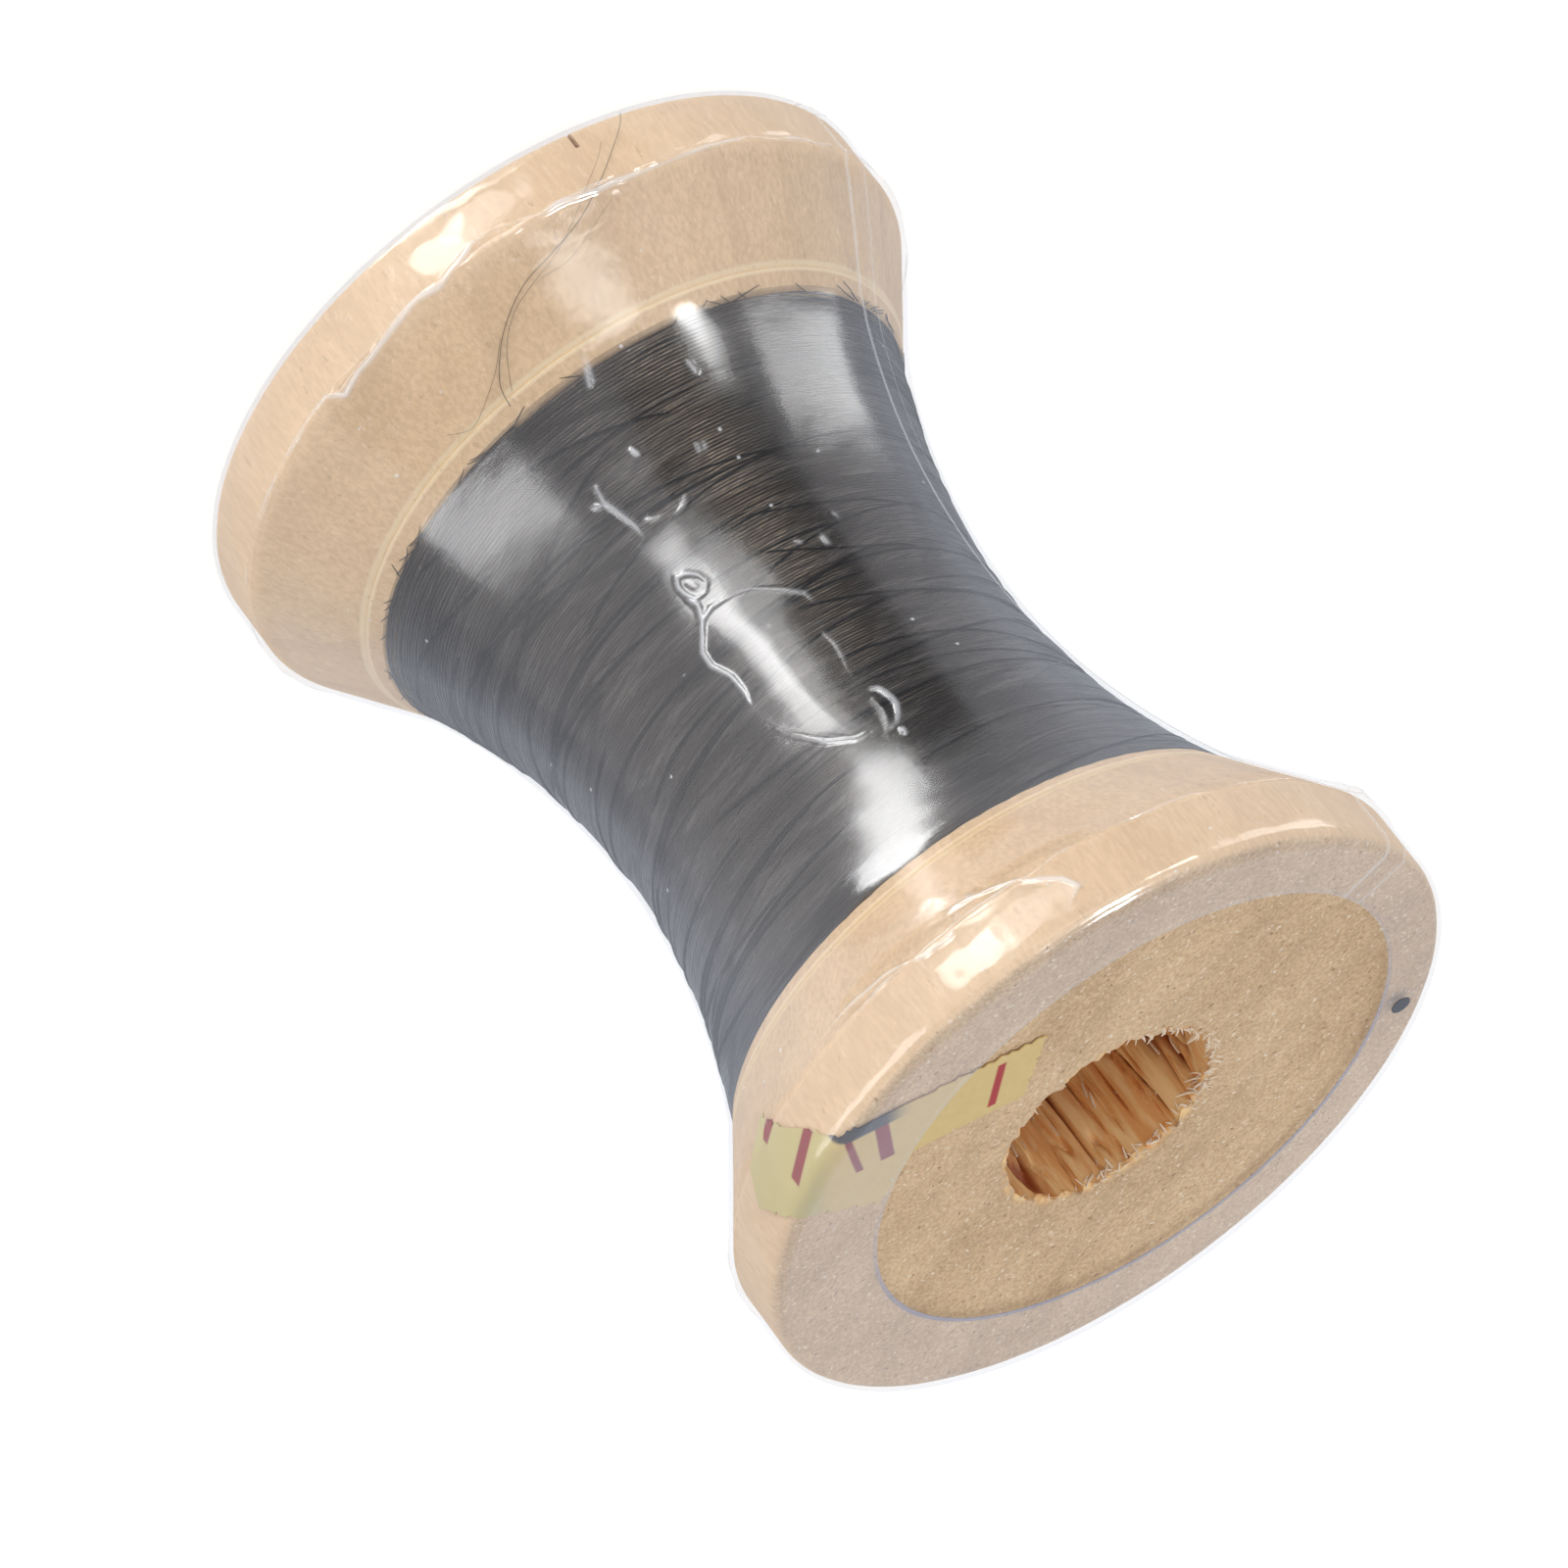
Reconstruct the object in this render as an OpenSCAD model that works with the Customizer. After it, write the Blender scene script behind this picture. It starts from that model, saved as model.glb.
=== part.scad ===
// Spool of thread in a clear shrink sleeve, standing on one end.
// One turned piece of wood carries the winding. The thread's loose end crosses the lower
// cone to the rim, a paper strip folds over the upper rim, and a thin clear sleeve is
// shrunk over the whole spool and tucked in over both end faces.

/* [Wooden spool] */
// Length of the wood from end face to end face
spool_len = 34.4; // [30:0.2:50]
// Diameter of the two flange rims
flange_d = 25.4; // [24:0.2:32]
// Width of the straight rim of each flange
rim_w = 2.4; // [1.6:0.1:3.4]
// Radius of the softened outer edge of each end face
edge_r = 0.3; // [0.1:0.05:0.6]
// Slope of each flange cone, in degrees from the axis
cone_angle = 32; // [26:1:38]
// Distance from an end face to the foot of its cone
foot_z = 6.5; // [5.6:0.1:7.6]
// Slope of the shoulders under the thread, in degrees from the axis
shoulder_angle = 75; // [68:1:80]
// Diameter of the wooden barrel under the thread
barrel_d = 12; // [10:0.2:13]
// Diameter of the hole for a spool pin
bore_d = 7.8; // [6:0.1:8.6]
// Distance of the turned line from the foot of the cone
line_gap = 0.6; // [0.4:0.1:1.4]
// Width of the turned line
line_w = 0.3; // [0.2:0.05:0.5]
// Depth of the turned line
line_depth = 0.12; // [0.05:0.01:0.2]

/* [Thread nick] */
// Direction of the nick in the lower rim, in degrees about the axis
nick_at = -115; // [-180:1:180]
// Width of the nick's mouth
nick_w = 0.3; // [0.2:0.05:0.6]
// Depth of the nick, from the rim towards the axis
nick_depth = 0.8; // [0.4:0.1:1.4]
// Height of the nick above the lower end face
nick_h = 1; // [0.6:0.1:1.6]

/* [Thread winding] */
// Diameter over the thread at the middle of the spool
waist_d = 15.5; // [14.8:0.1:17]
// Thickness of the turns of the outer layer
turn_d = 0.4; // [0.3:0.02:0.42]
// Turns in the outer layer
loops = 24; // [12:1:24]
// Clearance between the outer layer and the layers under it
turn_lift = 0.1; // [0.08:0.01:0.15]
// Clearance beside the outer layer's first and last turns
turn_gap = 0.05; // [0.03:0.01:0.1]
// Clearance between the wound thread and the wood it is wound on
wind_gap = 0.02; // [0.01:0.01:0.1]

/* [Thread end] */
// Thickness of the loose end of the thread
tail_d = 0.12; // [0.08:0.01:0.14]
// Clearance between the loose end and the wood
tail_lift = 0.03; // [0.02:0.01:0.05]

/* [Paper label] */
// Width of the paper strip
label_w = 2.9; // [2:0.1:5]
// Thickness of the paper
label_t = 0.1; // [0.05:0.01:0.12]
// Clearance between the paper and the wood
label_lift = 0.05; // [0.02:0.01:0.06]
// Direction in which the strip runs across the end face, in degrees
label_run = -24; // [-40:1:0]
// Distance of the strip's centre line from the spool's axis
label_offset = 5.7; // [5.4:0.1:6.6]
// Distance of the strip's inner end from the point of its line nearest the axis
label_start = 3.4; // [1:0.1:5]
// How far the strip hangs down below the upper end face
label_drop = 3.2; // [1.5:0.1:5]

/* [Shrink sleeve] */
// Thickness of the sleeve
film_t = 0.1; // [0.06:0.01:0.15]
// Clearance between the sleeve and what it is shrunk over
film_gap = 0.2; // [0.18:0.01:0.3]
// Diameter of the opening that the shrunk film leaves at each end
film_hole_d = 19.5; // [16:0.1:22]
// How far the upper opening has crept off centre
film_hole_shift = 0.8; // [0:0.1:1.2]
// Direction of the lap seam, in degrees about the axis
seam_at = -166.5; // [-180:0.5:180]
// Width of the lap seam, in degrees about the axis
seam_span = 6; // [3:0.5:12]
// Extra thickness of the film at the lap seam
seam_t = 0.05; // [0.02:0.01:0.08]

/* [Hidden] */

$fn = 96;
corner_steps = 4;
arc_steps = 16;
loop_rings = 24;
turn_sides = 6;
tail_sides = 8;
bend_steps = 3;
over = 1;

flange_r = flange_d / 2;
mid_z = spool_len / 2;
barrel_r = barrel_d / 2;
bore_r = bore_d / 2;
waist_r = waist_d / 2;
turn_r = turn_d / 2;
tail_r = tail_d / 2;
film_hole_r = film_hole_d / 2;
base_z = film_gap + film_t;

// The cone falls from the rim to its foot, the shoulder from there to the barrel.
foot_r = flange_r - (foot_z - rim_w) * tan(cone_angle);
barrel_z = foot_z + (foot_r - barrel_r) / tan(shoulder_angle);
line_z = foot_z - line_gap;

// The face of the winding is an arc from cone foot to cone foot, deepest at the waist.
half_span = mid_z - foot_z;
sag = foot_r - waist_r;
face_r = (half_span * half_span + sag * sag) / (2 * sag);
face_tilt = asin(half_span / face_r);

// Each end of the outer layer bends inward and runs straight down into the layers below.
turn_from = -80;
bend_r = 0.75 * turn_d;
end_depth = bend_r + turn_d;

// Height of the first turn, where its end goes down clear of the shoulder.
first_z = foot_z + (turn_r + turn_gap + (turn_r + end_depth) / tan(shoulder_angle))
                   / (1 - tan(face_tilt) / tan(shoulder_angle));
pitch = (spool_len - 2 * first_z) / loops;

// Way of the loose end: degrees about the axis, then height up the flange's side.
// Below zero the second number is the distance in from the rim along the end face.
tail_route = [[-82, 6.2], [-83, 5.6], [-86, 5], [-90, 4.4], [-96, 3.8], [-102, 3.5],
              [-107, 3.2], [-111, 2.8], [-115, 2.2], [-119, 1.4], [-123, 0.5], [-126, -0.6],
              [-130, -1.4]];
tail_steps = 4;

function flip(points) = [for (i = [len(points) - 1:-1:0]) [points[i][0], spool_len - points[i][1]]];
function back(points) = [for (i = [len(points) - 1:-1:0]) points[i]];

// Quarter round of the lower outer edge, at the distance o outside the wood.
function edge_points(o) =
    [for (k = [0:corner_steps])
        let (t = 90 * k / corner_steps)
        [flange_r - edge_r + (edge_r + o) * sin(t), edge_r - (edge_r + o) * cos(t)]];

// Corner at [r, z] between two slopes a1 and a2, moved out by o square to both.
function mitre(r, z, a1, a2, o) =
    [r + o * (cos(a1) + cos(a2)) / (1 + cos(a2 - a1)),
     z + o * (sin(a1) + sin(a2)) / (1 + cos(a2 - a1))];

function rim_point(o) = mitre(flange_r, rim_w, 0, cone_angle, o);

// Outline of the turned wood, moved out by o.
function wood_half(o) =
    concat(edge_points(o),
           [rim_point(o),
            mitre(foot_r, foot_z, cone_angle, shoulder_angle, o),
            mitre(barrel_r, barrel_z, shoulder_angle, 0, o)]);
function wood_points(o) = concat([[0, -o]], wood_half(o), flip(wood_half(o)), [[0, spool_len + o]]);

// Radius of the winding's face at height z, moved out by o.
function face_at(z, o) = waist_r + face_r - sqrt(pow(face_r - o, 2) - pow(z - mid_z, 2));
function face_points(o) =
    let (from = foot_z + o * sin(face_tilt), step = (spool_len - 2 * from) / arc_steps)
    [for (k = [0:arc_steps]) [face_at(from + k * step, o), from + k * step]];

// Outline of the wound spool as the sleeve sees it, moved out by o.
function wrap_half(o) = concat(edge_points(o), [rim_point(o)]);
function wrap_points(o) = concat(wrap_half(o), face_points(o), flip(wrap_half(o)));

// One skin between the wrap outlines at i and o, closed over the ends to the radius r_end.
function skin_points(i, o, r_end) =
    concat([[r_end, -o]], wrap_points(o), [[r_end, spool_len + o], [r_end, spool_len + i]],
           back(wrap_points(i)), [[r_end, -i]]);

// A closed tube through rings of points, in triangles.
module tube(rings) {
    sides = len(rings[0]);
    last = len(rings) - 1;
    walls = [for (i = [0:last - 1], k = [0:sides - 1])
                let (a = i * sides + k, b = i * sides + (k + 1) % sides)
                each [[a, b + sides, b], [a, a + sides, b + sides]]];
    near_cap = [for (k = [1:sides - 2]) [0, k, k + 1]];
    far_cap = [for (k = [1:sides - 2]) [last * sides, last * sides + k + 1, last * sides + k]];
    polyhedron([for (ring = rings) each ring], concat(walls, near_cap, far_cap));
}

// A ring of points round c, in the plane of the unit vectors u and w.
function ring(c, u, w, r, sides) =
    [for (k = [0:sides - 1]) c + r * (cos(360 * k / sides) * u + sin(360 * k / sides) * w)];

function outward(a) = [cos(a), sin(a), 0];
function along(a) = [-sin(a), cos(a), 0];
up = [0, 0, 1];

// The outer layer: place i along the turns, loop_rings places to a turn.
turn_places = loops * loop_rings;
function turn_angle(i) = turn_from + 360 * i / loop_rings;
function turn_z(i) = first_z + pitch * i / loop_rings;
function turn_centre(i) = face_at(turn_z(i), -turn_r) * outward(turn_angle(i)) + turn_z(i) * up;

// The turn at place i bends inward by t degrees; way is -1 before the first turn, 1 after the last.
function bend_centre(i, way, t) =
    turn_centre(i) - bend_r * (1 - cos(t)) * outward(turn_angle(i))
    + way * bend_r * sin(t) * along(turn_angle(i));
function bend_out(i, way, t) = cos(t) * outward(turn_angle(i)) + way * sin(t) * along(turn_angle(i));

// The thread's path, ends included: it comes up square out of the layers below, turns onto
// the winding's face, runs round it loop by loop, and goes down again at the other end.
turn_bends = [for (k = [1:bend_steps]) 90 * k / bend_steps];
turn_path = concat(
    [bend_centre(0, -1, 90) - turn_d * outward(turn_angle(0))],
    [for (t = back(turn_bends)) bend_centre(0, -1, t)],
    [for (i = [0:turn_places]) turn_centre(i)],
    [for (t = turn_bends) bend_centre(turn_places, 1, t)],
    [bend_centre(turn_places, 1, 90) - turn_d * outward(turn_angle(turn_places))]);
turn_outs = concat(
    [bend_out(0, -1, 90)],
    [for (t = back(turn_bends)) bend_out(0, -1, t)],
    [for (i = [0:turn_places]) outward(turn_angle(i))],
    [for (t = turn_bends) bend_out(turn_places, 1, t)],
    [bend_out(turn_places, 1, 90)]);

// Least gap between one turn and the next, over every ring and the rings a turn away.
path_last = len(turn_path) - 1;
turn_gaps = [for (i = [0:path_last])
                each [for (j = [i + loop_rings / 2:min(i + 2 * loop_rings, path_last)])
                    norm(turn_path[i] - turn_path[j]) - turn_d]];
echo(least_gap_between_turns_mm = min(turn_gaps));  // thread_outer_layer

// A place on the lower flange at the angle a and the route height h, o outside the wood.
function flange_side(h, o) =
    h <= rim_w ? flange_r + o : flange_r - (h - rim_w) * tan(cone_angle) + o / cos(cone_angle);
function flange_spot(h, o) =
    h >= edge_r ? [flange_side(h, o), h]
    : h <= -edge_r ? [flange_r + h, -o]
    : let (t = 45 + 45 * h / edge_r)
      [flange_r - edge_r + (edge_r + o) * sin(t), edge_r - (edge_r + o) * cos(t)];
function tail_spot(a, h) =
    let (p = flange_spot(h, tail_lift + tail_r)) p[0] * outward(a) + p[1] * up;

// The route eased through its points.
tail_last = len(tail_route) - 1;
function route_at(i) = tail_route[min(max(i, 0), tail_last)];
function eased(i, t) =
    let (a = route_at(i - 1), b = route_at(i), c = route_at(i + 1), d = route_at(i + 2))
    b + t / 2 * (c - a + t * (2 * a - 5 * b + 4 * c - d + t * (3 * (b - c) + d - a)));
tail_path = [for (i = [0:tail_last - 1], k = [0:tail_steps - (i == tail_last - 1 ? 0 : 1)])
                let (p = eased(i, k / tail_steps)) tail_spot(p[0], p[1])];
tail_rings = [for (i = [0:len(tail_path) - 1])
                let (ahead = tail_path[min(i + 1, len(tail_path) - 1)] - tail_path[max(i - 1, 0)],
                     tangent = ahead / norm(ahead),
                     side = cross(tangent, tail_path[i] - mid_z * up),
                     w = side / norm(side))
                ring(tail_path[i], cross(w, tangent), w, tail_r, tail_sides)];

module wood_blank(o) {
    rotate_extrude() polygon(wood_points(o));
}

// A V-shaped line cut round the cone, shallow and sharp.
module turned_line() {
    r = flange_side(line_z, 0);
    rotate_extrude()
        polygon([[r - line_depth, line_z], [r + line_w, line_z - line_w], [r + line_w, line_z + line_w / 2]]);
}

// The slit that holds the thread's end, cut down into the lower end's edge.
module nick() {
    rotate([0, 0, nick_at]) translate([flange_r - nick_depth, 0, nick_h]) rotate([0, 90, 0])
        linear_extrude(nick_depth + over)
            polygon([[0, 0], [nick_h + over, -nick_w / 2], [nick_h + over, nick_w / 2]]);
}

module spool_body() {
    color("#dfc09a") translate([0, 0, base_z]) difference() {
        wood_blank(0);
        translate([0, 0, -over]) cylinder(h = spool_len + 2 * over, r = bore_r);
        turned_line();
        translate([0, 0, spool_len]) mirror([0, 0, 1]) turned_line();
        nick();
    }
}

// Everything wound under the outer layer. Both ends are cut back, where the turns dive in.
module thread_core() {
    o = -(turn_d + turn_lift);
    neck_z = first_z + turn_r + turn_gap;
    neck_r = face_at(first_z, -turn_r) - end_depth - wind_gap;
    step = (spool_len - 2 * neck_z) / arc_steps;
    face = [for (k = [0:arc_steps]) [face_at(neck_z + k * step, o), neck_z + k * step]];
    color("#3b3836") translate([0, 0, base_z]) difference() {
        rotate_extrude()
            polygon(concat([[0, foot_z], [neck_r, foot_z], [neck_r, neck_z]], face,
                           [[neck_r, spool_len - neck_z], [neck_r, spool_len - foot_z],
                            [0, spool_len - foot_z]]));
        wood_blank(wind_gap);
    }
}

module thread_outer_layer() {
    color("#55504d") translate([0, 0, base_z])
        tube([for (i = [0:path_last]) ring(turn_path[i], up, turn_outs[i], turn_r, turn_sides)]);
}

module thread_tail() {
    color("#2b2827") translate([0, 0, base_z]) tube(tail_rings);
}

// Skin of paper over the upper end face, the rim and the top of the cone.
module label_skin() {
    o = label_lift + label_t;
    rotate_extrude() polygon(skin_points(label_lift, o, bore_r));
}

// The strip runs straight across the end face and folds over the edge, and keeps its slant
// to the edge on its way down the rim.
module paper_label() {
    lean = asin(label_offset / flange_r);
    color("#d9c75a") translate([0, 0, base_z]) {
        intersection() {
            label_skin();
            union() {
                rotate([0, 0, label_run])
                    translate([label_start, -label_offset - label_w / 2, spool_len])
                        cube([flange_r, label_w, over]);
                rotate([0, 0, label_run - lean]) translate([flange_r, 0, spool_len]) rotate([lean, 0, 0])
                    translate([-over, -label_w / 2, -label_drop]) cube([2 * over, label_w, label_drop + over]);
            }
        }
    }
}

module film_sleeve() {
    o = film_gap + film_t;
    top_z = spool_len + film_gap;
    color([0.86, 0.9, 0.94, 0.4]) translate([0, 0, base_z]) difference() {
        union() {
            rotate_extrude() polygon(skin_points(film_gap, o, film_hole_r - film_hole_shift));
            rotate([0, 0, seam_at - seam_span / 2]) rotate_extrude(angle = seam_span)
                polygon(concat(wrap_points(film_gap + film_t / 2), back(wrap_points(film_gap - seam_t))));
        }
        translate([-film_hole_shift, 0, top_z - film_gap]) cylinder(h = over, r = film_hole_r);
        translate([0, 0, -over]) cylinder(h = over, r = film_hole_r);
    }
}

spool_body();
thread_core();
thread_outer_layer();
thread_tail();
paper_label();
film_sleeve();
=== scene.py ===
import math
import random

import bmesh
import bpy
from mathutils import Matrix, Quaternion, Vector, noise


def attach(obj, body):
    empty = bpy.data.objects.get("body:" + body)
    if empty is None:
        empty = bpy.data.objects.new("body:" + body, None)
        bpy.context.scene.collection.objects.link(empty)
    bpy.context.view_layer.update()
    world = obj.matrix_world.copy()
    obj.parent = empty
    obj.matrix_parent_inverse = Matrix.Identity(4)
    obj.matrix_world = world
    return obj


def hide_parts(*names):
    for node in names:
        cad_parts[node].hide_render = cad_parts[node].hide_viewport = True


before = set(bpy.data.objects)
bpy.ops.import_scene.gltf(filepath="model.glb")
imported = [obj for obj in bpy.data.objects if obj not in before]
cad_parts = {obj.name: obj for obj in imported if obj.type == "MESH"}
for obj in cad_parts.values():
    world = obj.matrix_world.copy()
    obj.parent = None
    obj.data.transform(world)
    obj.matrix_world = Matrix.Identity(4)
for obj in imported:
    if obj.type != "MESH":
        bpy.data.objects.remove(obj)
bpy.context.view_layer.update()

bpy.ops.object.select_all(action="DESELECT")

# Millimetres, measured from the lower end of the shrink sleeve. One wooden spool, flat at
# both ends, carries the winding between the feet of its two cones.
MM = 0.001
BASE, LENGTH = 0.3, 34.4
MID = BASE + LENGTH / 2
FULL = 2 * MID
RIM_R, RIM_W, EDGE_R = 12.7, 2.4, 0.3
RIM_TOP = BASE + RIM_W
FOOT_R, FOOT_Z = 10.138, 6.5
LOW_FOOT, HIGH_FOOT = BASE + FOOT_Z, FULL - BASE - FOOT_Z
CONE = math.radians(32)
SLOPE = math.tan(CONE)
BARREL_R, BARREL_Z = 6.0, 7.609
BORE_R, TEAR = 3.9, 0.62
BORE_WALL = BORE_R - 0.1
LINE_Z, LINE_DEPTH = 5.9, 0.12
LOW, HIGH = LOW_FOOT + 0.16, HIGH_FOOT + 0.2
WAIST_R, FACE_R = 7.75, 25.16
HOLE_R, HOLE_SHIFT = 9.75, 0.8
LABEL_RUN, LABEL_OFF, LABEL_W, LABEL_FROM, LABEL_DROP = -24, 5.7, 2.9, 3.4, 3.2


# ---------------------------------------------------------------- camera, light and floor

def camera():
    bpy.ops.object.camera_add(
        location=(0, -0.331364, 0.190024), rotation=(-0.993216, -0.566784, 2.799414)
    )
    view = bpy.context.object
    view.name = "camera"
    view.data.lens = 263.45
    view.data.sensor_width = 36
    view.data.clip_start = 0.02
    bpy.context.scene.camera = view


def toward(azimuth, elevation, distance, roll=0):
    """Place and turn of a thing that faces the spool's middle from there, in degrees."""
    a, e = math.radians(azimuth), math.radians(elevation)
    way = Vector((math.cos(a) * math.cos(e), math.sin(a) * math.cos(e), math.sin(e)))
    turn = (-way).to_track_quat("-Z", "Y") @ Quaternion((0, 0, 1), math.radians(roll))
    return Vector((0, 0, MID * MM)) + way * distance, turn.to_euler()


def span(distance, half_angle):
    return 2 * distance * math.tan(math.radians(half_angle))


def hide_from(rays, piece):
    for ray in rays.split():
        setattr(piece, "visible_" + ray, False)


def softbox(name, azimuth, elevation, half_wide, half_high, radiance, roll=0, distance=0.6,
            shape="RECTANGLE", shine=True):
    """A soft lamp of that plain radiance, either for gloss alone or for all but gloss."""
    place, turn = toward(azimuth, elevation, distance, roll)
    bpy.ops.object.light_add(type="AREA", location=place, rotation=turn)
    lamp = bpy.context.object
    lamp.name = name
    lamp.data.shape = shape
    lamp.data.size = span(distance, half_wide)
    lamp.data.size_y = span(distance, half_high)
    lamp.data.energy = 4 * lamp.data.size * lamp.data.size_y * radiance
    hide_from("camera diffuse transmission volume_scatter" if shine else "camera glossy", lamp)


def dark_card(name, azimuth, elevation, half_wide, half_high, level, distance=0.75):
    """A dark card beside the lamps, which only gloss meets."""
    place, turn = toward(azimuth, elevation, distance)
    bpy.ops.mesh.primitive_plane_add(size=1, location=place, rotation=turn)
    card = bpy.context.object
    card.name = name
    card.scale = (span(distance, half_wide), span(distance, half_high), 1)
    hide_from("camera diffuse transmission shadow volume_scatter", card)
    paint, tree = finish_of(name)
    glow = node(tree, "Emission", {"Color": (level, level, level, 1), "Strength": 1.0})
    card.data.materials.append(finished(paint, glow))
    bpy.ops.object.select_all(action="DESELECT")


def room():
    world = bpy.data.worlds.new("room")
    bpy.context.scene.world = world
    world.use_nodes = True
    tree = world.node_tree
    tree.nodes.clear()
    path = node(tree, "LightPath")
    plain = maths("MAXIMUM", path["Is Camera Ray"], path["Is Transmission Ray"])
    way = node(tree, "SeparateXYZ", {0: node(tree, "TexCoord")["Generated"]})
    mirrored = blend(ramp(way[1], -0.3, 0.6), (0.80, 0.79, 0.83, 1), (0.81, 0.86, 0.97, 1))
    colour = blend(path["Is Glossy Ray"], (0.80, 0.80, 0.80, 1), mirrored)
    colour = blend(plain, colour, (1, 1, 1, 1))
    light = node(tree, "Background", {"Color": colour, "Strength": 1.0})
    node(tree, "OutputWorld", {"Surface": light})

    softbox("main_box", -88, -25, 7.5, 17, 7.4)
    softbox("main_side", -104, -28, 13, 20, 2.2, shape="ELLIPSE")
    softbox("low_box", -96, -69, 16, 8, 7.0, roll=-61)
    softbox("side_box", -146, 14, 4.5, 8, 9, shape="ELLIPSE")
    softbox("back_box", 177, -4, 20, 6.5, 3.5, roll=12)
    softbox("left_box", -43, 10, 22, 7, 4.0)
    softbox("left_wall", -38, -32, 42, 36, 0.25)
    softbox("cone_box", -120, 31.5, 12, 2.0, 2.2, shape="ELLIPSE")
    softbox("silk_box", -141, 58, 3.5, 8, 105)
    softbox("front_fill", -90, -27, 36, 25, 1.05, distance=0.5, shine=False)
    dark_card("dark_card", -129, -22, 26, 38, 0.05)
    dark_card("high_card", -72, 35, 36, 9, 0.35)

    # The floor glows to white for the camera, and is plain grey paper for every other ray.
    bpy.ops.mesh.primitive_plane_add(size=3, location=(0, 0, 0))
    floor = bpy.context.object
    floor.name = "floor"
    hide_from("glossy diffuse shadow", floor)
    paint, tree = finish_of("floor_paper")
    matt = node(tree, "BsdfDiffuse", {"Color": (0.78, 0.78, 0.78, 1)})
    pale = node(tree, "BsdfDiffuse", {"Color": (0.42, 0.42, 0.42, 1)})
    glow = node(tree, "Emission", {"Color": (1, 1, 1, 1), "Strength": 0.74})
    seen = node(tree, "AddShader", {0: pale, 1: glow})
    path = node(tree, "LightPath")
    both = node(tree, "MixShader", {0: path["Is Camera Ray"], 1: matt, 2: seen})
    floor.data.materials.append(finished(paint, both))
    bpy.ops.object.select_all(action="DESELECT")


# ---------------------------------------------------------------- shader nodes

class Value:
    """An output of a shader node. Numbers work with + - * / and abs, and an index gives
    another output of the same node."""

    def __init__(self, made, output=0):
        self.made, self.tree, self.socket = made, made.id_data, made.outputs[output]

    def __getitem__(self, output):
        return Value(self.made, output)

    def __add__(self, other):
        return maths("ADD", self, other)

    def __sub__(self, other):
        return maths("SUBTRACT", self, other)

    def __rsub__(self, other):
        return maths("SUBTRACT", other, self)

    def __mul__(self, other):
        return maths("MULTIPLY", self, other)

    def __truediv__(self, other):
        return maths("DIVIDE", self, other)

    def __abs__(self):
        return maths("ABSOLUTE", self)

    __radd__, __rmul__ = __add__, __mul__


def node(tree, kind, sockets=None, **settings):
    """Adds a node with those settings and sockets, and gives its first output."""
    made = tree.nodes.new("ShaderNode" + kind)
    for name, value in settings.items():
        setattr(made, name, value)
    for name, value in (sockets or {}).items():
        if isinstance(value, Value):
            tree.links.new(value.socket, made.inputs[name])
        else:
            made.inputs[name].default_value = value
    return Value(made) if made.outputs else None


def tree_of(values):
    return next(v.tree for v in values if isinstance(v, Value))


def maths(operation, *values):
    return node(tree_of(values), "Math", dict(enumerate(values)), operation=operation)


def vector(operation, *values):
    return node(tree_of(values), "VectorMath", dict(enumerate(values)), operation=operation)


def scaled(value, share):
    return node(value.tree, "VectorMath", {0: value, "Scale": share}, operation="SCALE")


def ramp(value, low, high):
    """0 below low, 1 above high, eased. With low above high it runs the other way."""
    return node(value.tree, "MapRange", {"Value": value, "From Min": low, "From Max": high},
                interpolation_type="SMOOTHSTEP")


def blend(share, a, b):
    return node(tree_of((share, a, b)), "Mix", {0: share, 6: a, 7: b}, data_type="RGBA")[2]


def speckle(place, scale, detail=2.0, roughness=0.5):
    return node(place.tree, "TexNoise", {"Vector": place, "Scale": scale, "Detail": detail,
                                         "Roughness": roughness})


def bumped(height, strength, distance):
    return node(height.tree, "Bump", {"Strength": strength, "Distance": distance,
                                      "Height": height})


def group(name, inputs, numbers, vectors=()):
    """A new node group: its inputs as names and values, and the names of what it puts out."""
    tree = bpy.data.node_groups.new(name, "ShaderNodeTree")

    def socket(label, in_out, is_vector):
        kind = "NodeSocketVector" if is_vector else "NodeSocketFloat"
        return tree.interface.new_socket(label, in_out=in_out, socket_type=kind)
    for label, value in inputs.items():
        socket(label, "INPUT", isinstance(value, tuple)).default_value = value
    for label in vectors + numbers:
        socket(label, "OUTPUT", label in vectors)
    return tree, Value(tree.nodes.new("NodeGroupInput")), tree.nodes.new("NodeGroupOutput")


def put_out(made, **values):
    for label, value in values.items():
        value.tree.links.new(value.socket, made.inputs[label])


def use(tree, name, **sockets):
    return node(tree, "Group", sockets, node_tree=bpy.data.node_groups[name])


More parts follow.
